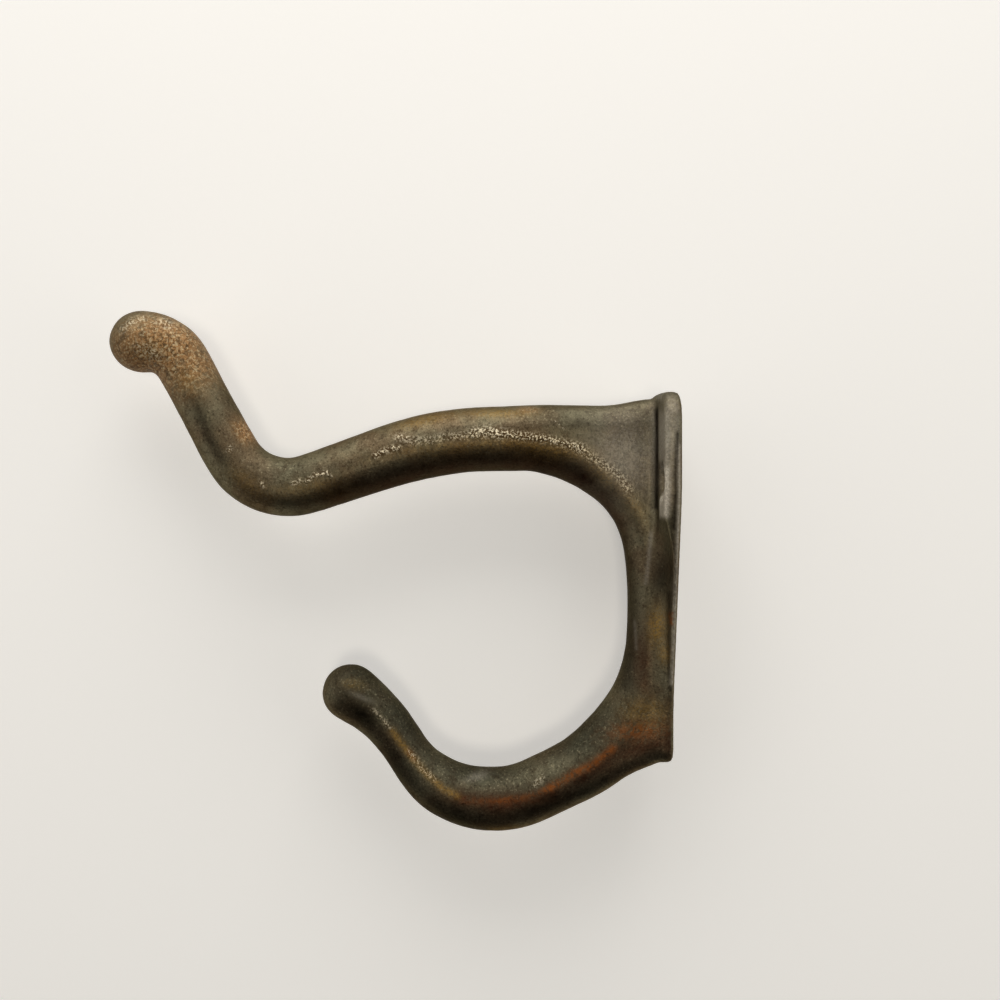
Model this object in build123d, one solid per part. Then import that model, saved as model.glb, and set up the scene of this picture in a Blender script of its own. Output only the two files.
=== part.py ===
from build123d import *
from math import cos, pi, radians, sin, tan
import os

# A double hook cast in one piece: wall plate, body, long upper arm and short lower hook.
# Millimetres. The wall is the plane Y = 0 and the hook stands out from it towards -Y.
# Z is up and X is across. The origin lies on the plate's back face, on its middle line.

# Wall plate: its ends, its thickness, and half the width of the body that stands on it
plate_top = 29.2
plate_bottom = -28.9
plate_thickness = 2.7
flank_half_width = 4.8

# Countersunk screw holes, one in each lobe of the plate
hole_radius = 1.8
countersink_radius = 3.1
countersink_angle = 82.0
hole_clearance = 1.1
hole_below_top = 14.2

# Outline of the plate: a faintly arched top, round lobes about the holes, then a taper to a narrow foot
top_fall = 1.0
top_arch_radius = 90.0
lobe_margin = 1.1
lobe_below_hole = 2.5
lobe_corner_radius = 4.0
lobe_bottom_radius = 14.0
foot_margin = 0.4
foot_height = 8.9
foot_bend_radius = 40.0
foot_corner_radius = 2.4
rim_front_radius = 1.0
rim_back_radius = 0.7

# Flare from the body's sides into the plate's front: how far it stands out, how deep its edge is sunk,
# where it starts below the plate's top, and the angles of the sections through its hollow curve
flare_height = 1.3
flare_sink = 0.1
flare_top_below = 3.0
flare_angles = [0, 20, 40, 60, 78, 90]

# Outline of the flare: the distance below the plate's top, the half width beyond that of the body's sides,
# and how far the flare spreads there
flare_rows = [
    (4.8, -0.3, 0.3),
    (6.7, -0.05, 0.95),
    (10.0, 0.0, 1.25),
    (15.0, -0.05, 1.35),
    (20.0, -0.08, 1.9),
    (25.0, -0.18, 2.6),
    (30.0, -0.22, 2.4),
    (35.0, -0.22, 1.5),
    (40.0, -0.22, 0.6),
    (45.0, -0.25, 0.05),
]

# Spine of the limb on the middle plane, built outwards from the body in steps along reach and height
body_stand_off = 0.7
arm_below_top = 7.0
crest_reach = 36.9
elbow_run = 28.2
elbow_drop = 10.6
neck_run = 14.1
neck_rise = 25.7
tip_run = 4.4
tip_drop = 0.15
root_above_bottom = 3.6
root_run = 29.7
root_drop = 14.5
lower_neck_run = 12.6
lower_neck_rise = 18.3
lower_tip_run = 4.9
lower_tip_rise = 3.1

# Radius of each bend of the spine
upper_bend_radius = 6.4
upper_elbow_radius = 9.7
crest_radius = 44.0
inner_top_radius = 19.0
inner_bottom_radius = 23.8
lower_elbow_radius = 15.9
lower_bend_radius = 17.5

# Tips of the two limbs
upper_tip_radius = 5.1
lower_tip_radius = 4.5

# The spine's lines and arcs in order, from the upper tip to the lower one
(
    UPPER_TIP,
    UPPER_BEND,
    NECK,
    UPPER_ELBOW,
    RISE,
    CREST,
    ARM,
    INNER_TOP,
    BODY,
    INNER_BOTTOM,
    LOWER_ROOT,
    LOWER_ELBOW,
    LOWER_NECK,
    LOWER_BEND,
    LOWER_TIP,
) = range(15)

# Girth of the limb. Each station gives its stretch of the spine and how far along it, from 0 to 1, then
# the depth to the inner side (the one that faces the throat), the depth to the outer side,
# the half width, the fullness of the outer half (2 is an ellipse and more is squarer),
# and how far each side's faint ridge leans, in degrees.
stations = [
    (UPPER_TIP, 0.0, 4.8, upper_tip_radius, upper_tip_radius, 2.0, 0.0),
    (UPPER_BEND, 0.3, 4.7, 4.8, 4.9, 2.0, 0.0),
    (NECK, 0.2, 4.3, 4.3, 4.5, 2.0, 2.0),
    (NECK, 0.8, 4.5, 4.4, 4.5, 2.0, 4.0),
    (UPPER_ELBOW, 0.6, 4.4, 5.0, 4.7, 2.0, 5.0),
    (RISE, 0.5, 4.9, 4.8, 4.9, 2.0, 6.0),
    (CREST, 0.5, 5.6, 4.7, 5.1, 2.0, 8.0),
    (ARM, 1.0, 5.5, 5.05, 5.2, 2.2, 9.0),
    (INNER_TOP, 0.15, 5.8, 5.7, 5.2, 2.6, 9.0),
    (INNER_TOP, 0.27, 5.8, 7.4, 5.2, 3.0, 9.0),
    (INNER_TOP, 0.36, 5.7, 9.7, 5.2, 3.4, 9.0),
    (INNER_TOP, 0.41, 5.6, 12.0, flank_half_width + 0.3, 3.7, 9.0),
    (INNER_TOP, 0.5, 5.3, 15.0, flank_half_width + 0.3, 4.0, 9.0),
    (INNER_TOP, 0.7, 4.5, 10.5, flank_half_width + 0.2, 4.0, 9.0),
    (BODY, 0.0, 3.7, 5.4, flank_half_width, 4.0, 8.0),
    (BODY, 0.5, 3.2, 5.2, flank_half_width, 4.0, 6.0),
    (INNER_BOTTOM, 0.3, 4.2, 6.6, flank_half_width + 0.2, 4.0, 6.0),
    (INNER_BOTTOM, 0.5, 4.8, 8.6, flank_half_width + 0.3, 4.0, 7.0),
    (INNER_BOTTOM, 0.7, 5.1, 5.5, flank_half_width + 0.4, 3.2, 8.0),
    (LOWER_ROOT, 0.0, 5.1, 4.7, 5.1, 2.4, 8.0),
    (LOWER_ELBOW, 0.3, 5.1, 4.9, 5.0, 2.0, 7.0),
    (LOWER_ELBOW, 0.7, 4.4, 4.6, 4.6, 2.0, 7.0),
    (LOWER_NECK, 0.3, 3.5, 3.7, 3.9, 2.0, 6.0),
    (LOWER_BEND, 0.5, 3.7, 4.2, 4.0, 2.0, 3.0),
    (LOWER_TIP, 1.0, lower_tip_radius, lower_tip_radius, lower_tip_radius, 2.0, 0.0),
]

# Points along each quarter of a section
steps_per_quarter = 6

# Sections per line and per arc of the spine, and the angles of the sections that round a tip
sections_per_line = 3
degrees_between_sections = 10.0
tip_section_angles = [28, 50, 66, 78, 87]

middle_tolerance = 0.001
cut_reach = 40.0


def spine_corners():
    """Corners of the spine as (reach from the wall, height), from the upper tip to the lower one."""
    body_reach = plate_thickness + body_stand_off
    arm_height = plate_top - arm_below_top
    root_height = plate_bottom + root_above_bottom
    elbow_reach = crest_reach + elbow_run
    elbow_height = arm_height - elbow_drop
    bend_reach = elbow_reach + neck_run
    bend_height = elbow_height + neck_rise
    lower_elbow_reach = body_reach + root_run
    lower_elbow_height = root_height - root_drop
    lower_bend_reach = lower_elbow_reach + lower_neck_run
    lower_bend_height = lower_elbow_height + lower_neck_rise
    return [
        (bend_reach + tip_run, bend_height - tip_drop),
        (bend_reach, bend_height),
        (elbow_reach, elbow_height),
        (crest_reach, arm_height),
        (body_reach, arm_height),
        (body_reach, root_height),
        (lower_elbow_reach, lower_elbow_height),
        (lower_bend_reach, lower_bend_height),
        (lower_bend_reach + lower_tip_run, lower_bend_height + lower_tip_rise),
    ]


def make_spine():
    """The limb's spine as straight runs joined by tangent arcs."""
    radii = [
        upper_bend_radius,
        upper_elbow_radius,
        crest_radius,
        inner_top_radius,
        inner_bottom_radius,
        lower_elbow_radius,
        lower_bend_radius,
    ]
    line = FilletPolyline(*[(0, -reach, height) for reach, height in spine_corners()], radius=radii)
    return Wire(line.edges())


def stretch_starts(spine):
    """Distance along the spine at which each of its lines and arcs starts, and the whole length."""
    starts = [0.0]
    for edge in spine.edges():
        starts.append(starts[-1] + edge.length)
    return starts


def smooth_value(place, places, values):
    """A value between stations, on a smooth curve that doesn't overshoot them."""
    steps = [(values[i + 1] - values[i]) / (places[i + 1] - places[i]) for i in range(len(places) - 1)]
    slopes = [0.0]
    for before, after in zip(steps, steps[1:]):
        slopes.append(2 * before * after / (before + after) if before * after > 0 else 0.0)
    slopes.append(0.0)
    last = max(i for i in range(len(steps)) if places[i] <= place or i == 0)
    span = places[last + 1] - places[last]
    t = min(max((place - places[last]) / span, 0.0), 1.0)
    start_weight = (1 + 2 * t) * (1 - t) ** 2
    end_weight = t * t * (3 - 2 * t)
    start_slope = t * (1 - t) ** 2 * span * slopes[last]
    end_slope = t * t * (t - 1) * span * slopes[last + 1]
    return start_weight * values[last] + end_weight * values[last + 1] + start_slope + end_slope


def quarter_curve(plane, depth, half_width, fullness, lean):
    """The curve from the middle plane at this depth out to the ridge on the side."""
    points = []
    for i in range(steps_per_quarter + 1):
        angle = pi / 2 * i / steps_per_quarter
        across = half_width * sin(angle) ** (2 / fullness)
        along = depth * max(cos(angle), 0.0) ** (2 / fullness)
        points.append(plane.from_local_coords((across, along, 0)))
    inward = -1 if depth > 0 else 1
    at_middle = plane.x_dir
    at_ridge = plane.x_dir * sin(radians(lean)) + plane.y_dir * inward * cos(radians(lean))
    spacing = [i / steps_per_quarter for i in range(steps_per_quarter + 1)]
    return Edge.make_spline(points, tangents=[at_middle, at_ridge], parameters=spacing)


def half_section(plane, inner, outer, half_width, fullness, lean):
    """Half of a cross-section, closed along the middle plane."""
    inner_side = quarter_curve(plane, inner, half_width, 2.0, lean)
    outer_side = quarter_curve(plane, -outer, half_width, fullness, lean)
    middle = Edge.make_line(outer_side @ 0, inner_side @ 0)
    return Wire([inner_side, outer_side.reversed(), middle])


def mirrored_shell(half):
    """A whole solid from one half: its outer faces and their mirror images, sewn together."""
    outside = [face for face in half.faces() if face.bounding_box().size.X > middle_tolerance]
    return Solid(Shell(outside + [face.mirror(Plane.YZ) for face in outside]))


def make_limb():
    """Upper arm, body and lower hook as one loft along the spine, closed by rounded tips."""
    spine = make_spine()
    edges = spine.edges()
    starts = stretch_starts(spine)
    length = starts[-1]
    places = [starts[row[0]] + row[1] * edges[row[0]].length for row in stations]
    columns = [[row[column] for row in stations] for column in range(2, 7)]

    def section_at(place, scale=1.0, beyond=0.0):
        centre = spine.position_at(place, position_mode=PositionMode.LENGTH)
        heading = spine.tangent_at(place, position_mode=PositionMode.LENGTH)
        plane = Plane(origin=centre + heading * beyond, x_dir=(1, 0, 0), z_dir=heading)
        inner, outer, half_width, fullness, lean = [smooth_value(place, places, column) for column in columns]
        return half_section(plane, inner * scale, outer * scale, half_width * scale, fullness, lean)

    tip_sections = [(cos(radians(angle)), sin(radians(angle))) for angle in tip_section_angles]
    sections = [section_at(0.0, scale, -upper_tip_radius * beyond) for scale, beyond in reversed(tip_sections)]
    for edge, start in zip(edges, starts):
        if edge.geom_type == GeomType.LINE:
            count = sections_per_line
        else:
            turn = edge.length / edge.radius
            count = max(2, round(turn / radians(degrees_between_sections)))
        sections += [section_at(start + edge.length * i / count) for i in range(count)]
    sections.append(section_at(length))
    sections += [section_at(length, scale, lower_tip_radius * beyond) for scale, beyond in tip_sections]
    return mirrored_shell(Solid.make_loft(sections))


def hole_offset():
    """Distance of each screw hole from the middle plane: it clears the side of the body."""
    return flank_half_width + hole_clearance + countersink_radius


def hole_height():
    """Height of the screw holes."""
    return plate_top - hole_below_top


def make_plate():
    """The wall plate: two lobes at the top for the screws, tapering to a narrow foot."""
    lobe_half_width = hole_offset() + countersink_radius + lobe_margin
    foot_half_width = flank_half_width + foot_margin
    right = [
        (lobe_half_width, plate_top - top_fall, lobe_corner_radius),
        (lobe_half_width, hole_height() - lobe_below_hole, lobe_bottom_radius),
        (foot_half_width, plate_bottom + foot_height, foot_bend_radius),
        (foot_half_width, plate_bottom, foot_corner_radius),
    ]
    left = [(-x, z, radius) for x, z, radius in reversed(right)]
    corners = [(0, plate_top, top_arch_radius)] + right + left
    outline = FilletPolyline(
        *[(x, 0, z) for x, z, radius in corners],
        radius=[radius for x, z, radius in corners],
        close=True,
    )
    face = Face(Wire(outline.edges()))
    plate = extrude(face, amount=plate_thickness, dir=(0, -1, 0))
    rims = plate.edges().filter_by(Plane.XZ).group_by(Axis.Y)
    plate = fillet(rims[0], rim_front_radius)
    back = plate.edges().filter_by(Plane.XZ).group_by(Axis.Y)[-1]
    return fillet(back, rim_back_radius)


def flare_section(angle):
    """Half of the flare's outline at one height of its hollow curve, closed along the middle plane."""
    depth = plate_thickness - flare_sink + (flare_height + flare_sink) * (1 - cos(radians(angle)))
    spread_share = 1 - sin(radians(angle))
    top = (0, -depth, plate_top - flare_top_below)
    points = [top]
    for below_top, wider, spread in flare_rows:
        points.append((flank_half_width + wider + spread * spread_share, -depth, plate_top - below_top))
    foot = (0, -depth, plate_top - flare_rows[-1][0])
    side = Edge.make_spline(points, tangents=[(1, 0, 0), (0, 0, -1)])
    return Wire([side, Edge.make_line(points[-1], foot), Edge.make_line(foot, top)])


def make_flare():
    """The hollow curve between the body's sides and the front of the plate."""
    return mirrored_shell(Solid.make_loft([flare_section(angle) for angle in flare_angles]))


def cut_behind(solid):
    """Ends the limb inside the plate, halfway through its thickness."""
    behind = Box(4 * cut_reach, 2 * cut_reach, 4 * cut_reach)
    return solid - Pos(0, cut_reach - plate_thickness / 2, 0) * behind


def screw_hole(side):
    """A countersunk hole through one lobe, driven from the front."""
    mouth = Plane(origin=(side * hole_offset(), -plate_thickness, hole_height()), z_dir=(0, -1, 0))
    sink_depth = (countersink_radius - hole_radius) / tan(radians(countersink_angle / 2))
    shank = Cylinder(hole_radius, 4 * plate_thickness)
    sink = Pos(0, 0, -sink_depth / 2) * Cone(hole_radius, countersink_radius, sink_depth)
    return mouth * (shank + sink)


hook = cut_behind(Part() + make_limb()) + make_plate() + make_flare()
hook -= screw_hole(1)
hook -= screw_hole(-1)
os.makedirs("parts", exist_ok=True)
export_step(hook, "parts/double_hook.step")
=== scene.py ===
import math
import bmesh
import bpy
import numpy as np
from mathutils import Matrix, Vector, noise


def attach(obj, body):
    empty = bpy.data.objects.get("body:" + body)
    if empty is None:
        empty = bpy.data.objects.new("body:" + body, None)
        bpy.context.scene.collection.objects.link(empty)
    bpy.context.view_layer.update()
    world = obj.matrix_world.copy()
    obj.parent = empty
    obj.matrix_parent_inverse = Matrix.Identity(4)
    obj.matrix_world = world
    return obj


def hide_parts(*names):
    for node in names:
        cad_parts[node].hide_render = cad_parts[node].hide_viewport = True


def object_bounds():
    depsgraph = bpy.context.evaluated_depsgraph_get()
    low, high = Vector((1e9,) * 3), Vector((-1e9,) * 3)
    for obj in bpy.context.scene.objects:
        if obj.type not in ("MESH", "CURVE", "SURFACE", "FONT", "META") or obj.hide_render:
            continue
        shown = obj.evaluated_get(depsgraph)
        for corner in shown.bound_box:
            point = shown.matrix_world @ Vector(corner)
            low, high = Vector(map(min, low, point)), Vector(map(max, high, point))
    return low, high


# Looks of a cast double hook with a worn brown patina, with painted shade, highlights and reflections
# in its colour, in the CAD model's frame: the wall is the plane Y = 0, the hook stands out towards -Y,
# and Z is up. Metres, unless a comment says otherwise.

MM = 0.001

# Camera: level, looking along -X at the hook's side. The sensor and the lens are in mm.
CAMERA_PLACE = (0.172, -0.02687, 0.01216)
CAMERA_TURN = (math.radians(90), 0, math.radians(90))
CAMERA_NEAREST = 0.01
SENSOR_WIDTH = 36.0
LENS = 38.95

# Mesh: the size of its squares, how near two vertices are joined, and rounds of smoothing
VOXEL = 0.32 * MM
JOIN_DISTANCE = VOXEL / 1000
SMOOTHING_ROUNDS = 4

# Unevenness of the casting, in mm: the length and the depth of its waves, dimples and pits. Pits
# start where their noise passes a value from 0 to 1. They are deepest in rust and in the gleam, which
# is bare metal and painted highlight, and have a share of that depth elsewhere, and another in gold
# places, which are partly painted highlight too.
WAVE_SIZE = 9.0
WAVE_DEPTH = 0.10
DIMPLE_SIZE = 2.4
DIMPLE_DEPTH = 0.05
PIT_SIZE = 0.9
PIT_DEPTH = 0.09
PIT_START = 0.3
PITS_EVERYWHERE = 0.2
PITS_IN_GOLD = 0.5
SURFACE_SEED = Vector((3.1, 7.7, 1.9))

# Scoop below the lobes, where the plate's front sinks from the body's sides to a thin edge. All in
# mm: heights, then at each the half width of the body's sides, that of the plate's edge, and the
# thickness left at the edge. The last value is how far out from the wall the scoop starts.
SCOOP_HEIGHTS = [-25.0, -20.0, -15.0, -10.0, 0.0, 4.0, 8.0, 11.5]
SCOOP_FLANK = [5.10, 5.05, 5.0, 4.88, 4.85, 4.87, 4.92, 4.95]
SCOOP_EDGE = [5.3, 5.4, 6.3, 7.5, 9.9, 10.9, 11.9, 12.6]
SCOOP_LEFT = [2.2, 1.2, 0.9, 0.9, 0.9, 1.1, 2.0, 3.2]
SCOOP_START_DEPTH = 4.0

# In mm, how near the wall the surface stays even and its back plain, and over what distance a
# streak group fades in at its ends
BLEND = 0.5

# Near the wall the finish, painted shade and painted highlights fade as a face turns towards it, from
# the first value to the second, where 0 is side on and 1 is straight at the wall
BACK_TURN_START = 0.4
BACK_TURN_END = 0.8

# Soft patches of finish, painted shade and painted highlight on the side view, each (reach, height,
# length, width, tilt, strength). Reach is how far it lies out from the wall. All in mm, the tilt in
# degrees from level towards the wall, and the strength from 0 to 1.
PATCHES = {
    "rust": [
        (80.8, 35.0, 5.8, 4.6, 10, 1.0),
        (77.5, 37.0, 4.6, 3.4, -30, 0.65),
        (75.0, 31.8, 3.2, 4.0, -55, 0.52),
        (66.9, 23.0, 2.0, 1.2, -60, 0.8),
        (22.5, 26.3, 1.6, 0.6, 0, 0.4),
    ],
    # Pale is partly pale bloom and partly painted highlight, on the body's side and the lower hook
    "pale": [
        (8.0, 18.5, 5.0, 6.0, 0, 0.34),
        (1.5, 23.0, 1.8, 5.0, 0, 0.28),
        (30.3, -31.0, 1.6, 0.5, 10, 0.2),
        (48.5, -18.4, 1.8, 0.4, -25, 0.2),
    ],
    # Gold is rubbed brass and painted highlight: the golden band along the arm's ridge and down the
    # body, and a painted lit panel low on the body
    "gold": [
        (81.0, 35.2, 2.2, 1.4, 5, 0.55),
        (75.4, 30.6, 1.8, 1.8, 0, 0.4),
        (39.0, 24.6, 5.0, 1.0, 12, 0.55),
        (27.5, 25.8, 5.0, 0.8, 0, 0.6),
        (33.0, 20.4, 12.0, 1.3, 6, 0.45),
        (20.0, 20.2, 7.0, 1.4, -8, 0.8),
        (11.0, 16.2, 4.0, 1.3, -42, 0.6),
        (6.3, 11.5, 3.5, 1.4, -60, 0.4),
        (2.7, -7.4, 1.2, 2.8, 0, 0.95),
        (1.7, -11.6, 0.8, 1.6, 0, 0.7),
        (4.2, -20.6, 3.4, 2.0, 0, 0.55),
        (56.0, 13.8, 6.0, 1.6, 8, 0.35),
        (66.0, 14.5, 4.0, 1.6, -35, 0.35),
        (49.5, -16.6, 2.0, 0.9, -8, 0.25),
    ],
    # Dark is mostly painted shade: on the lower hook's outer side, in the scoop below the lobes and on
    # the body's inner side. A few spots, as on the upper tip, are darker patina.
    "dark": [
        (17.0, -33.8, 10.0, 1.5, 24, 0.75),
        (34.0, -37.6, 9.0, 1.8, -12, 0.85),
        (43.2, -29.5, 6.5, 2.2, -55, 0.9),
        (48.2, -20.8, 3.4, 1.5, -45, 0.95),
        (2.1, 0.4, 1.6, 4.6, 0, 0.95),
        (7.4, 4.2, 0.8, 3.0, 0, 0.6),
        (85.4, 37.0, 0.9, 1.0, 0, 0.6),
        (50.0, -15.5, 3.4, 3.0, 0, 0.3),
        (6.0, -2.0, 1.2, 5.0, 0, 0.42),
        (14.5, 24.2, 4.5, 1.0, -4, 0.4),
    ],
    # Maroon is a red-brown patina that also paints shade on the foot and the lower hook's outer side
    "maroon": [
        (4.0, -26.0, 5.0, 1.7, 10, 1.0),
        (1.0, -24.8, 0.8, 2.4, 0, 0.9),
        (12.6, -29.8, 6.5, 1.6, 33, 0.9),
        (28.0, -35.1, 7.0, 1.5, 0, 0.8),
        (4.6, -12.5, 1.6, 7.0, 0, 0.8),
    ],
    # Copper is an orange-brown patina, and along the lower hook's bottom it is a painted highlight
    "copper": [
        (5.4, -23.4, 4.0, 1.4, 6, 0.85),
        (28.0, -34.3, 6.5, 0.6, 0, 0.3),
    ],
    # Grey is a grey-green patina, and over the lower hook it is also painted shade for the dimmer light
    # there
    "grey": [
        (13.0, -24.5, 9.0, 3.4, 36, 0.9),
        (30.0, -31.0, 10.0, 2.6, -8, 0.95),
        (42.0, -22.6, 7.5, 3.0, -52, 0.95),
        (49.5, -16.0, 5.0, 4.0, 0, 0.95),
        (6.9, -12.0, 1.2, 9.0, 0, 0.6),
        (67.5, 27.0, 9.0, 2.6, -60, 0.35),
        (6.0, 22.0, 5.0, 5.5, 0, 0.55),
        (18.0, 25.6, 8.0, 1.6, 0, 0.5),
        (1.5, 28.5, 2.5, 1.5, 0, 0.7),
        (60.0, 16.5, 6.0, 2.0, 0, 0.5),
    ],
}

# Streaks of finish, painted shade, painted highlight and painted reflection along lines on the side
# view, in mm. Each group lies between two distances from the middle plane, where one below 0 is no
# limit, and each of its streaks is (points as reach and height, width, strength).
STREAK_GROUPS = [
    (-1.0, 20.0, {
        # Gleam is rubbed bare metal and painted highlight: glints along the ridges and on the upper tip
        "gleam": [
            ([(85.2, 38.6), (84.0, 39.9), (82.4, 40.6)], 0.7, 0.38),
            ([(79.6, 40.0), (78.6, 39.4)], 0.8, 0.5),
            ([(82.5, 35.6), (80.2, 34.6)], 1.0, 0.5),
            ([(46.2, 19.0), (44.4, 19.8), (42.6, 20.3)], 0.4, 0.9),
            ([(42.6, 21.9), (40.4, 21.3), (37.5, 21.4), (35.5, 21.9), (32.5, 22.0)], 0.6, 0.42),
            ([(31.0, 22.4), (28.6, 22.7), (27.2, 22.3)], 0.8, 0.75),
            ([(27.2, 22.4), (24.1, 22.1), (21.5, 21.8), (17.8, 21.1), (14.6, 20.2)], 0.6, 0.9),
            ([(14.6, 20.2), (12.8, 18.8), (9.8, 16.9), (8.2, 15.5), (7.0, 13.7)], 0.7, 0.55),
            ([(59.0, 14.7), (57.8, 15.1)], 0.3, 0.6),
            ([(56.8, 14.9), (55.9, 15.9), (53.6, 16.4), (53.1, 15.9)], 0.26, 0.8),
            ([(63.9, 14.9), (63.6, 14.3)], 0.35, 0.5),
            ([(68.5, 20.6), (69.0, 19.7)], 0.3, 0.45),
            ([(46.4, -20.5), (44.0, -23.2)], 0.3, 0.4),
            ([(40.9, -27.0), (38.9, -29.5), (37.2, -31.0)], 0.4, 0.45),
            ([(21.4, -31.9), (20.4, -30.9)], 0.45, 0.35),
            ([(18.5, 24.4), (17.2, 23.2)], 0.14, 0.5),
        ],
        # Painted highlight along the lower hook's ridge and painted reflection along its bottom rim,
        # over rubbed brass
        "gold": [
            ([(43.6, -23.8), (40.9, -27.4), (38.4, -30.2), (35.8, -32.5), (33.6, -33.6)], 0.55, 0.75),
            ([(2.2, -29.6), (7.8, -32.2), (12.6, -35.2), (17.3, -37.6), (22.1, -39.2), (28.0, -39.8)],
             0.8, 0.5),
        ],
        # Painted highlight in orange along the lower hook's ridge
        "copper": [
            ([(9.4, -26.2), (11.1, -27.6), (13.1, -29.0), (15.1, -29.8), (17.5, -31.3), (19.6, -32.6)],
             0.6, 0.85),
            ([(19.6, -32.6), (23.5, -33.8), (27.5, -34.2)], 0.4, 0.35),
            ([(41.2, -26.8), (40.2, -28.0)], 0.4, 0.7),
        ],
        # Painted shade in red-brown along the arm's underside and the lower hook's bottom
        "maroon": [
            ([(53.1, 12.4), (45.4, 14.5), (37.7, 16.9), (30.0, 18.1), (20.7, 17.8), (14.0, 15.6)],
             2.0, 0.8),
            ([(14.0, 15.6), (10.5, 12.4), (8.6, 8.4)], 1.5, 0.65),
            ([(33.0, -34.0), (26.0, -34.9), (19.0, -33.4)], 1.3, 0.85),
        ],
        # Mostly painted shade along the arm's underside and down the body's inner side
        "dark": [
            ([(74.4, 28.1), (71.8, 21.4), (69.8, 18.0)], 0.9, 0.6),
            ([(58.0, 10.4), (53.1, 11.8), (45.4, 13.9), (37.7, 16.2), (30.0, 17.2), (20.7, 16.8)],
             1.5, 0.42),
            ([(20.7, 16.8), (14.5, 14.8), (10.9, 11.9), (8.6, 8.0), (7.4, 2.6)], 1.5, 0.6),
            ([(7.2, 2.0), (6.6, -4.0), (6.4, -11.0), (7.4, -16.5)], 1.2, 0.6),
        ],
        # Painted highlights along the ridge and side of the body
        "pale": [
            ([(3.6, 7.0), (3.9, 3.0), (4.3, -0.7)], 0.3, 0.25),
            ([(5.9, -6.8), (5.7, -11.0)], 0.2, 0.25),
        ],
    }),
    (-1.0, 6.6, {
        # Painted shade in the groove where the body's side meets the plate
        "dark": [([(2.75, 26.0), (2.8, 18.0), (2.9, 11.0)], 0.4, 0.95)],
    }),
    (7.0, 20.0, {
        # Lobes lighter, partly rubbed and partly painted reflection, and a painted highlight on their
        # front edge
        "pale": [
            ([(3.0, 24.5), (2.8, 12.0)], 1.0, 0.4),
            ([(2.5, 16.6), (2.4, 10.0)], 0.5, 0.95),
        ],
        # Painted reflection: a dark band along the lobes' rounded front edge
        "dark": [([(0.8, 22.0), (1.05, 17.0), (1.2, 8.0)], 0.32, 0.9)],
    }),
    (5.6, 20.0, {
        # Painted reflection of the sheet along the plate's back edge
        "pale": [([(0.25, 20.0), (0.35, 8.0), (0.35, -16.0)], 0.42, 0.75)],
        # Painted shade along the plate's back edge
        "dark": [([(1.2, -2.0), (1.1, -17.0)], 0.3, 0.8)],
        # Painted orange glints on the plate's back edge
        "copper": [([(1.0, -21.4), (0.9, -23.0)], 0.3, 0.9), ([(0.9, -5.0), (0.85, -6.6)], 0.25, 0.9)],
    }),
]

# Colours as red, green and blue from 0 to 255
OLIVE = (106, 99, 78)
BROWN = (98, 84, 64)
UMBER = (56, 44, 31)
# Dark specks of the patina, and the colour of the painted shade under the dark mask
SOOT_AND_SHADE = (18, 13, 8)
# Red-brown patina, and the colour of painted shade on undersides
MAROON = (54, 21, 7)
SPECK = (168, 158, 128)
RUST = (186, 138, 86)
CRUMB = (214, 196, 156)
EARTH = (78, 58, 36)
# Orange-brown patina, and the colour of painted glints
COPPER = (130, 72, 28)
# Rubbed brass, and the colour of painted highlights
GOLD = (146, 114, 56)
# Bare brass and painted highlight
GLEAM = (244, 230, 198)
# Pale bloom, and the colour of painted highlights and painted reflections
PALE = (222, 212, 194)
# Grey-green patina, dark enough to stand as painted shade on the lower hook
GREY = (60, 60, 48)
FLOOR = (250, 248, 244)

# Noises of the patina: length of the waves in mm, detail, roughness and distortion
TEXTURES = {
    "clouds": (7.0, 3.0, 0.55, 0.0),
    "mottle": (1.6, 4.0, 0.65, 0.0),
    "grain": (0.36, 3.0, 0.7, 0.0),
    "flecks": (0.34, 2.0, 0.6, 0.5),
    "crumbs": (0.42, 3.0, 0.65, 0.6),
    "blotches": (0.9, 4.0, 0.7, 0.8),
}

# The ground is olive below the first value of the clouds and brown above the second. Bare metal
# and painted highlight show through where the flecks pass from the first value to the second.
CLOUD_RANGE = (0.38, 0.66)
GLEAM_RANGE = (0.5, 0.58)

# Layers of finish, painted shade and painted highlight over the ground, from the bottom up: colour,
# mask (None is everywhere), texture, two values of the texture, the layer's cover at each of them, and
# its strength
LAYERS = [
    # Grey-green patina and painted shade over the lower hook
    (GREY, "grey", "mottle", (0.2, 0.5), (0.7, 1.0), 0.95),
    (UMBER, None, "mottle", (0.48, 0.72), (0.0, 1.0), 0.5),
    (SOOT_AND_SHADE, None, "grain", (0.53, 0.68), (0.0, 1.0), 0.6),
    (SPECK, None, "grain", (0.44, 0.28), (0.0, 1.0), 0.42),
    # Pale bloom, painted highlights and painted reflections
    (PALE, "pale", "flecks", (0.4, 0.6), (0.6, 1.0), 0.95),
    # Red-brown patina and painted shade on undersides
    (MAROON, "maroon", "mottle", (0.3, 0.6), (1.0, 0.75), 0.95),
    # Painted shade under the dark mask, with a few spots of darker patina
    (SOOT_AND_SHADE, "dark", "mottle", (0.3, 0.6), (1.0, 0.85), 0.95),
    (RUST, "rust", "blotches", (0.38, 0.56), (0.35, 1.0), 0.9),
    (EARTH, "rust", "crumbs", (0.53, 0.58), (0.0, 1.0), 0.85),
    # Orange-brown patina and painted highlight
    (COPPER, "copper", "blotches", (0.42, 0.55), (0.25, 1.0), 0.9),
    # Rubbed brass and painted highlight
    (GOLD, "gold", "flecks", (0.38, 0.6), (0.35, 1.0), 0.85),
    (CRUMB, "rust", "crumbs", (0.46, 0.39), (0.0, 1.0), 0.75),
    (EARTH, "gleam", "flecks", (0.5, 0.42), (0.0, 1.0), 0.9),
]

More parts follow.
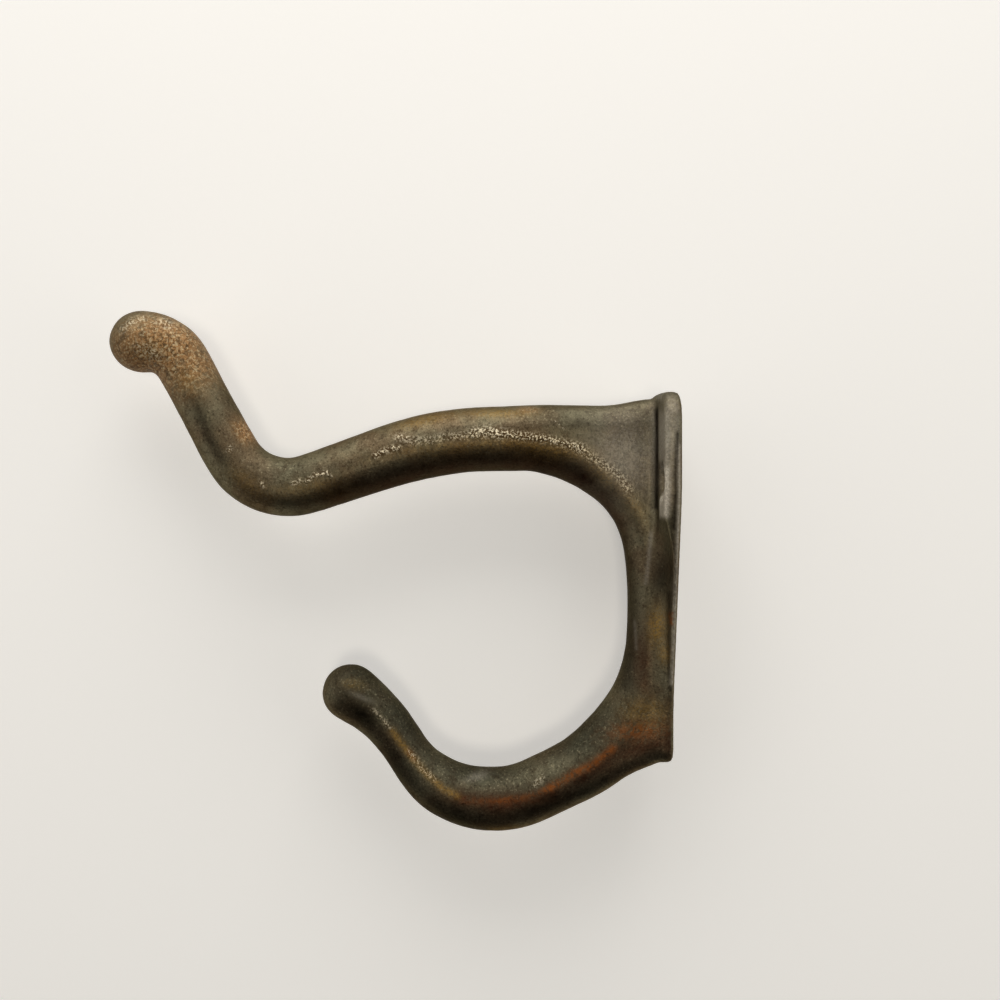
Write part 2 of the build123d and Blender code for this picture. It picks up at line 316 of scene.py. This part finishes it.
# Fine relief from the bottom up: texture, mask (None is everywhere), depth in mm
RELIEF = [
    ("grain", None, 0.05),
    ("mottle", None, 0.09),
    ("crumbs", "rust", 0.22),
    ("flecks", "gleam", 0.18),
]

# Shine of the patina. Rust and the pale mask, which is pale bloom and partly painted highlight and
# painted reflection, are less metallic, and the mottle sets the roughness.
METALLIC = 0.85
CRUST_AND_HIGHLIGHT_LESS_METALLIC = 0.7
ROUGH_MOTTLE = (0.3, 0.7)
ROUGHNESS = (0.36, 0.52)
ROUGHER_IN = {"rust": 0.14, "grey": 0.08}
GLEAM_SMOOTHER = 0.14
SPECULAR_LEVEL = 0.3
SPECULAR_TINT = (0.45, 0.42, 0.36, 1.0)

# Stage: a pale sheet behind the hook, clear from its back and fading out beyond the picture
SHEET_GAP = 0.4 * MM
SHEET_HALF_SIZE = 0.5
SHEET_FADE_START = 0.15
SHEET_FADE_END = 0.32
SHEET_OWN_LIGHT = 0.30

# Surround: its strength as soft light, and as the background that is seen
SOFT_LIGHT = 0.55
BACKGROUND_STRENGTH = 0.92

# Lamps: place, size, power in watts and colour. Dark cards outside the picture: place, width,
# height and shade. All of them face the hook's middle.
MIDDLE = Vector((0.0, -0.035, 0.0))
LAMPS = {
    "top_lamp": ((0.16, -0.05, 0.42), 0.42, 1.2, (1.0, 0.98, 0.95)),
    "front_lamp": ((0.60, -0.03, -0.03), 0.10, 0.5, (1.0, 0.93, 0.82)),
}
FLAGS = {
    "low_flag": ((0.20, -0.035, -0.30), 0.9, 0.62, 0.015),
    "room_flag": ((0.80, -0.035, 0.0), 0.9, 0.7, 0.06),
}


def linear(colour):
    """A colour of the screen as the linear values that a shader takes."""
    parts = [c / 255 for c in colour]
    return tuple(c / 12.92 if c <= 0.04045 else ((c + 0.055) / 1.055) ** 2.4 for c in parts) + (1.0,)


def patch_mask(places, patches):
    """How strongly a list of patches covers each place, from 0 to 1."""
    reach = -places[:, 1] / MM
    height = places[:, 2] / MM
    bare = np.ones(len(places))
    for centre_reach, centre_height, length, width, tilt, strength in patches:
        turn = math.radians(tilt)
        towards_wall = centre_reach - reach
        up = height - centre_height
        along = towards_wall * math.cos(turn) + up * math.sin(turn)
        across = up * math.cos(turn) - towards_wall * math.sin(turn)
        bare *= 1 - strength * np.exp(-((along / length) ** 2) - (across / width) ** 2)
    return 1 - bare


def streak_mask(places, streaks):
    """How strongly a list of streaks covers each place, from 0 to 1."""
    side_view = np.column_stack([-places[:, 1], places[:, 2]]) / MM
    bare = np.ones(len(places))
    for points, width, strength in streaks:
        distance = np.full(len(places), np.inf)
        for start, end in zip(np.array(points), np.array(points[1:])):
            run = end - start
            share = np.clip((side_view - start) @ run / (run @ run), 0, 1)
            nearest = start + share[:, None] * run
            distance = np.minimum(distance, np.linalg.norm(side_view - nearest, axis=1))
        bare *= 1 - strength * np.exp(-((distance / width) ** 2))
    return 1 - bare


def finish_masks(places, normals):
    """Each kind of finish, painted shade and painted highlight, and how strongly it covers each place.
    The flat back has none.
    """
    masks = {name: patch_mask(places, patches) for name, patches in PATCHES.items()}
    across = np.abs(places[:, 0]) / MM
    for nearest, farthest, group in STREAK_GROUPS:
        within = np.clip((across - nearest) / BLEND, 0, 1) * np.clip((farthest - across) / BLEND, 0, 1)
        for name, streaks in group.items():
            masks[name] = 1 - (1 - masks.get(name, 0)) * (1 - streak_mask(places, streaks) * within)
    by_wall = places[:, 1] > -BLEND * MM
    turned = (normals[:, 1] - BACK_TURN_START) / (BACK_TURN_END - BACK_TURN_START)
    off_back = 1 - np.clip(turned, 0, 1) * by_wall
    return {name: mask * off_back for name, mask in masks.items()}


def sample_noise(places, size):
    """Smooth noise of about -1 to 1 whose waves are this many millimetres long."""
    scale = 1 / (size * MM)
    return np.array([noise.noise(Vector(p) * scale + SURFACE_SEED) for p in places])


def add_attribute(mesh, name, values):
    """Stores one number for each vertex, which the material reads by its name."""
    attribute = mesh.attributes.new(name, "FLOAT", "POINT")
    attribute.data.foreach_set("value", values.astype(np.float32))


def vertex_places(mesh):
    """The places of the vertices, one to a row."""
    places = np.zeros(len(mesh.vertices) * 3)
    mesh.vertices.foreach_get("co", places)
    return places.reshape(-1, 3)


def vertex_normals(mesh):
    """The directions in which the surface faces at the vertices, one to a row."""
    normals = np.zeros(len(mesh.vertices) * 3)
    mesh.vertex_normals.foreach_get("vector", normals)
    return normals.reshape(-1, 3)


def apply_modifiers(piece):
    """Works the piece's modifiers into its mesh."""
    graph = bpy.context.evaluated_depsgraph_get()
    mesh = bpy.data.meshes.new_from_object(piece.evaluated_get(graph))
    piece.modifiers.clear()
    piece.data = mesh


def copy_joined(source):
    """A new piece with the source's mesh, whose doubled vertices are joined."""
    mesh = bpy.data.meshes.new("hook_casting")
    shape = bmesh.new()
    shape.from_mesh(source)
    bmesh.ops.remove_doubles(shape, verts=shape.verts, dist=JOIN_DISTANCE)
    shape.to_mesh(mesh)
    shape.free()
    piece = bpy.data.objects.new("hook_casting", mesh)
    bpy.context.scene.collection.objects.link(piece)
    return piece


def even_mesh(piece):
    """Rebuilds the piece as a mesh of even squares."""
    remesh = piece.modifiers.new("even", "REMESH")
    remesh.mode = "VOXEL"
    remesh.voxel_size = VOXEL
    remesh.use_smooth_shade = True
    apply_modifiers(piece)


def soften(piece):
    """Smooths the small steps that the even squares leave."""
    smooth = piece.modifiers.new("soft", "SMOOTH")
    smooth.iterations = SMOOTHING_ROUNDS
    apply_modifiers(piece)


def sink_plate(mesh):
    """Sinks the plate's front below the lobes to the hollow curve of the scoop."""
    places = vertex_places(mesh)
    across = np.abs(places[:, 0]) / MM
    depth = -places[:, 1] / MM
    height = places[:, 2] / MM
    flank = np.interp(height, SCOOP_HEIGHTS, SCOOP_FLANK)
    edge = np.interp(height, SCOOP_HEIGHTS, SCOOP_EDGE)
    left = np.interp(height, SCOOP_HEIGHTS, SCOOP_LEFT)
    share = np.clip((across - flank) / (edge - flank), 0, 1)
    curve = left + (SCOOP_START_DEPTH - left) * (1 - np.sqrt(1 - (1 - share) ** 2))
    inside = (across > flank) & (depth < SCOOP_START_DEPTH)
    inside &= (height > SCOOP_HEIGHTS[0]) & (height < SCOOP_HEIGHTS[-1])
    places[inside, 1] = -np.minimum(depth, curve)[inside] * MM
    mesh.vertices.foreach_set("co", places.ravel())


def roughen(mesh):
    """Sinks waves, dimples and pits into the surface, and stores how the finish, painted shade and
    painted highlights cover it.
    """
    places = vertex_places(mesh)
    normals = vertex_normals(mesh)
    masks = finish_masks(places, normals)
    waves = 0.5 + 0.5 * sample_noise(places, WAVE_SIZE)
    dimples = np.clip(sample_noise(places, DIMPLE_SIZE), 0, 1)
    pits = np.clip(sample_noise(places, PIT_SIZE) - PIT_START, 0, 1) / (1 - PIT_START)
    # Rust, and the gleam and gold masks, whose painted highlights get pits too
    worn_and_highlit = np.clip(masks["rust"] + masks["gleam"] + PITS_IN_GOLD * masks["gold"], 0, 1)
    pits *= PITS_EVERYWHERE + (1 - PITS_EVERYWHERE) * worn_and_highlit
    depth = WAVE_DEPTH * waves + DIMPLE_DEPTH * dimples + PIT_DEPTH * pits
    at_wall = np.clip(1 + places[:, 1] / (BLEND * MM), 0, 1)
    places -= normals * (depth * (1 - at_wall) * MM)[:, None]
    places[:, 1] = np.minimum(places[:, 1], 0)
    mesh.vertices.foreach_set("co", places.ravel())
    mesh.update()
    for name, mask in masks.items():
        add_attribute(mesh, name, mask)


def make_casting(source):
    """The hook as one even mesh, with its scoop, its uneven surface and its finish, painted shade and
    painted highlights.
    """
    piece = copy_joined(source)
    even_mesh(piece)
    sink_plate(piece.data)
    even_mesh(piece)
    soften(piece)
    roughen(piece.data)
    piece.data.materials.clear()
    piece.data.materials.append(patina_material())
    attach(piece, "root")
    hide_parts("double_hook")


class Graph:
    """Short calls that add nodes to a material or the world, and join them."""

    def __init__(self, owner):
        owner.use_nodes = True
        self.tree = owner.node_tree
        self.tree.nodes.clear()
        self.place = self.node("ShaderNodeTexCoord").outputs["Object"]

    def node(self, kind, **settings):
        """Adds a node of this kind with these settings."""
        made = self.tree.nodes.new(kind)
        for name, value in settings.items():
            setattr(made, name, value)
        return made

    def put(self, socket, value):
        """Joins a socket to another node's output, or sets its number or colour."""
        if isinstance(value, bpy.types.NodeSocket):
            self.tree.links.new(value, socket)
        else:
            socket.default_value = value

    def show(self, shader, kind="ShaderNodeOutputMaterial"):
        """Makes this shader the surface of the material or the world."""
        self.put(self.node(kind).inputs["Surface"], shader)

    def noise(self, size, detail, roughness, distortion):
        """Noise of 0 to 1 whose waves are this many millimetres long."""
        made = self.node("ShaderNodeTexNoise")
        self.put(made.inputs["Vector"], self.place)
        self.put(made.inputs["Scale"], 1 / (size * MM))
        self.put(made.inputs["Detail"], detail)
        self.put(made.inputs["Roughness"], roughness)
        self.put(made.inputs["Distortion"], distortion)
        return made.outputs["Fac"]

    def attribute(self, name):
        """The number that the mesh holds under this name."""
        return self.node("ShaderNodeAttribute", attribute_name=name).outputs["Fac"]

    def math(self, operation, first, second):
        """Two numbers worked into one by this operation."""
        made = self.node("ShaderNodeMath", operation=operation)
        self.put(made.inputs[0], first)
        self.put(made.inputs[1], second)
        return made.outputs[0]

    def ramp(self, value, low, high, start=0.0, end=1.0):
        """A smooth step from start to end as the value goes from low to high."""
        made = self.node("ShaderNodeMapRange", interpolation_type="SMOOTHSTEP")
        self.put(made.inputs["Value"], value)
        self.put(made.inputs["From Min"], low)
        self.put(made.inputs["From Max"], high)
        self.put(made.inputs["To Min"], start)
        self.put(made.inputs["To Max"], end)
        return made.outputs["Result"]

    def mix(self, share, first, second):
        """One colour turning into another as the share goes from 0 to 1."""
        made = self.node("ShaderNodeMix", data_type="RGBA")
        self.put(made.inputs[0], share)
        self.put(made.inputs[6], first)
        self.put(made.inputs[7], second)
        return made.outputs[2]

    def bump(self, height, depth, below):
        """A normal for this height of 0 to 1 and depth in mm, over the normal below if there is one."""
        made = self.node("ShaderNodeBump")
        self.put(made.inputs["Height"], height)
        self.put(made.inputs["Distance"], depth * MM)
        if below is not None:
            self.put(made.inputs["Normal"], below)
        return made.outputs["Normal"]


def patina_colour(graph, masks, textures, bright):
    """Layers of finish, painted shade and painted highlight over an olive and brown ground, and bare
    metal and painted highlight on top.
    """
    ground = graph.ramp(textures["clouds"], *CLOUD_RANGE)
    colour = graph.mix(ground, linear(OLIVE), linear(BROWN))
    for tint, mask, texture, values, cover, strength in LAYERS:
        share = graph.ramp(textures[texture], *values, *cover)
        if mask:
            share = graph.math("MULTIPLY", masks[mask], share)
        share = graph.math("MULTIPLY", share, strength)
        colour = graph.mix(share, colour, linear(tint))
    return graph.mix(bright, colour, linear(GLEAM))


def patina_relief(graph, masks, textures):
    """The surface's normal with its fine relief."""
    normal = None
    for texture, mask, depth in RELIEF:
        height = textures[texture]
        if mask:
            height = graph.math("MULTIPLY", height, masks[mask])
        normal = graph.bump(height, depth, normal)
    return normal


def patina_roughness(graph, masks, textures, bright):
    """Rougher in the rust and the grey places, and smoother on bare metal and on the painted highlights
    of the gleam.
    """
    rough = graph.ramp(textures["mottle"], *ROUGH_MOTTLE, *ROUGHNESS)
    for name, more in ROUGHER_IN.items():
        rough = graph.math("ADD", rough, graph.math("MULTIPLY", masks[name], more))
    return graph.math("SUBTRACT", rough, graph.math("MULTIPLY", bright, GLEAM_SMOOTHER))


def patina_material():
    """Brown to olive patina over brass, rubbed through along the ridges, with painted shade, painted
    highlights and painted reflections in its colour.
    """
    material = bpy.data.materials.new("patinated_brass")
    graph = Graph(material)
    masks = {name: graph.attribute(name) for name in [*PATCHES, "gleam"]}
    textures = {name: graph.noise(*values) for name, values in TEXTURES.items()}
    # Bright specks of the gleam: bare metal and painted highlight
    bright = graph.math("MULTIPLY", masks["gleam"], graph.ramp(textures["flecks"], *GLEAM_RANGE))
    # Rust and the pale mask, with its painted highlights and painted reflections, are less metallic
    crust_and_highlight = graph.math("MAXIMUM", masks["rust"], masks["pale"])
    less_metallic = graph.math("MULTIPLY", crust_and_highlight, CRUST_AND_HIGHLIGHT_LESS_METALLIC)
    shader = graph.node("ShaderNodeBsdfPrincipled")
    graph.put(shader.inputs["Base Color"], patina_colour(graph, masks, textures, bright))
    graph.put(shader.inputs["Metallic"], graph.math("SUBTRACT", METALLIC, less_metallic))
    graph.put(shader.inputs["Roughness"], patina_roughness(graph, masks, textures, bright))
    graph.put(shader.inputs["Specular IOR Level"], SPECULAR_LEVEL)
    graph.put(shader.inputs["Specular Tint"], SPECULAR_TINT)
    graph.put(shader.inputs["Normal"], patina_relief(graph, masks, textures))
    graph.show(shader.outputs["BSDF"])
    return material


def background_light(graph):
    """1 for rays that see the background, directly or in a reflection, and 0 for soft light."""
    path = graph.node("ShaderNodeLightPath")
    seen = graph.math("MAXIMUM", path.outputs["Is Camera Ray"], path.outputs["Is Glossy Ray"])
    return graph.math("MAXIMUM", seen, path.outputs["Is Transmission Ray"])


def sheet_material():
    """Pale paper with some light of its own, clear from its back and beyond the picture."""
    material = bpy.data.materials.new("pale_sheet")
    graph = Graph(material)
    paper = graph.node("ShaderNodeBsdfDiffuse")
    graph.put(paper.inputs["Color"], linear(FLOOR))
    own_light = graph.node("ShaderNodeEmission")
    graph.put(own_light.inputs["Color"], linear(FLOOR))
    strength = graph.math("MULTIPLY", background_light(graph), SHEET_OWN_LIGHT)
    graph.put(own_light.inputs["Strength"], strength)
    lit = graph.node("ShaderNodeAddShader")
    graph.put(lit.inputs[0], paper.outputs["BSDF"])
    graph.put(lit.inputs[1], own_light.outputs["Emission"])

    distance = graph.node("ShaderNodeVectorMath", operation="LENGTH")
    graph.put(distance.inputs[0], graph.place)
    faded = graph.ramp(distance.outputs["Value"], SHEET_FADE_START, SHEET_FADE_END)
    back = graph.node("ShaderNodeNewGeometry").outputs["Backfacing"]
    sheet = graph.node("ShaderNodeMixShader")
    graph.put(sheet.inputs[0], graph.math("MAXIMUM", faded, back))
    graph.put(sheet.inputs[1], lit.outputs["Shader"])
    graph.put(sheet.inputs[2], graph.node("ShaderNodeBsdfTransparent").outputs["BSDF"])
    graph.show(sheet.outputs["Shader"])
    return material


def make_sheet(place_x):
    """The pale sheet that the hook lies against, behind it as the camera sees it."""
    half = SHEET_HALF_SIZE
    mesh = bpy.data.meshes.new("sheet")
    corners = [(0, -half, -half), (0, half, -half), (0, half, half), (0, -half, half)]
    mesh.from_pydata(corners, [], [(0, 1, 2, 3)])
    mesh.materials.append(sheet_material())
    sheet = bpy.data.objects.new("sheet", mesh)
    sheet.location = (place_x, CAMERA_PLACE[1], CAMERA_PLACE[2])
    bpy.context.scene.collection.objects.link(sheet)


def make_world():
    """A pale surround that shows as it is, and gives softer light than it shows."""
    world = bpy.data.worlds.new("studio")
    bpy.context.scene.world = world
    graph = Graph(world)
    strength = graph.ramp(background_light(graph), 0.0, 1.0, SOFT_LIGHT, BACKGROUND_STRENGTH)
    surround = graph.node("ShaderNodeBackground")
    graph.put(surround.inputs["Color"], linear(FLOOR))
    graph.put(surround.inputs["Strength"], strength)
    graph.show(surround.outputs["Background"], "ShaderNodeOutputWorld")


def place_facing(thing, place, axis):
    """Puts a lamp or a card, unseen by the camera, with this axis towards the hook's middle."""
    thing.location = place
    thing.rotation_mode = "QUATERNION"
    thing.rotation_quaternion = (MIDDLE - Vector(place)).to_track_quat(axis, "Y")
    thing.visible_camera = False
    bpy.context.scene.collection.objects.link(thing)


def make_lamp(name, place, size, power, colour):
    """A square soft lamp."""
    lamp = bpy.data.lights.new(name, "AREA")
    lamp.shape = "SQUARE"
    lamp.size = size
    lamp.energy = power
    lamp.color = colour
    place_facing(bpy.data.objects.new(name, lamp), place, "-Z")


def make_flag(name, place, width, height, shade):
    """A dark card that the metal reflects."""
    material = bpy.data.materials.new(name)
    graph = Graph(material)
    card = graph.node("ShaderNodeBsdfDiffuse")
    graph.put(card.inputs["Color"], (shade, shade, shade, 1.0))
    graph.show(card.outputs["BSDF"])
    x = width / 2
    y = height / 2
    mesh = bpy.data.meshes.new(name)
    mesh.from_pydata([(-x, -y, 0), (x, -y, 0), (x, y, 0), (-x, y, 0)], [], [(0, 1, 2, 3)])
    mesh.materials.append(material)
    flag = bpy.data.objects.new(name, mesh)
    place_facing(flag, place, "Z")


def make_camera():
    """The camera that takes the picture."""
    data = bpy.data.cameras.new("camera")
    data.sensor_width = SENSOR_WIDTH
    data.lens = LENS
    data.clip_start = CAMERA_NEAREST
    camera = bpy.data.objects.new("camera", data)
    camera.location = CAMERA_PLACE
    camera.rotation_euler = CAMERA_TURN
    bpy.context.scene.collection.objects.link(camera)
    bpy.context.scene.camera = camera


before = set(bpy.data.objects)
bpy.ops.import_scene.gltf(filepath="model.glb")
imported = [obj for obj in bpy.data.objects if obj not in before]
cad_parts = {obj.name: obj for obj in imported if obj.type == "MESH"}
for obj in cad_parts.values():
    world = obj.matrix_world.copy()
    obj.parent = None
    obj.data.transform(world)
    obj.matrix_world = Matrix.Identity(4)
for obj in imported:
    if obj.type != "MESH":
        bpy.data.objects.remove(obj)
cad_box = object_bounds()
bpy.context.scene.view_settings.view_transform = "Standard"

make_camera()
make_casting(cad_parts["double_hook"].data)
make_sheet(cad_box[0].x - SHEET_GAP)
make_world()
for name, values in LAMPS.items():
    make_lamp(name, *values)
for name, values in FLAGS.items():
    make_flag(name, *values)
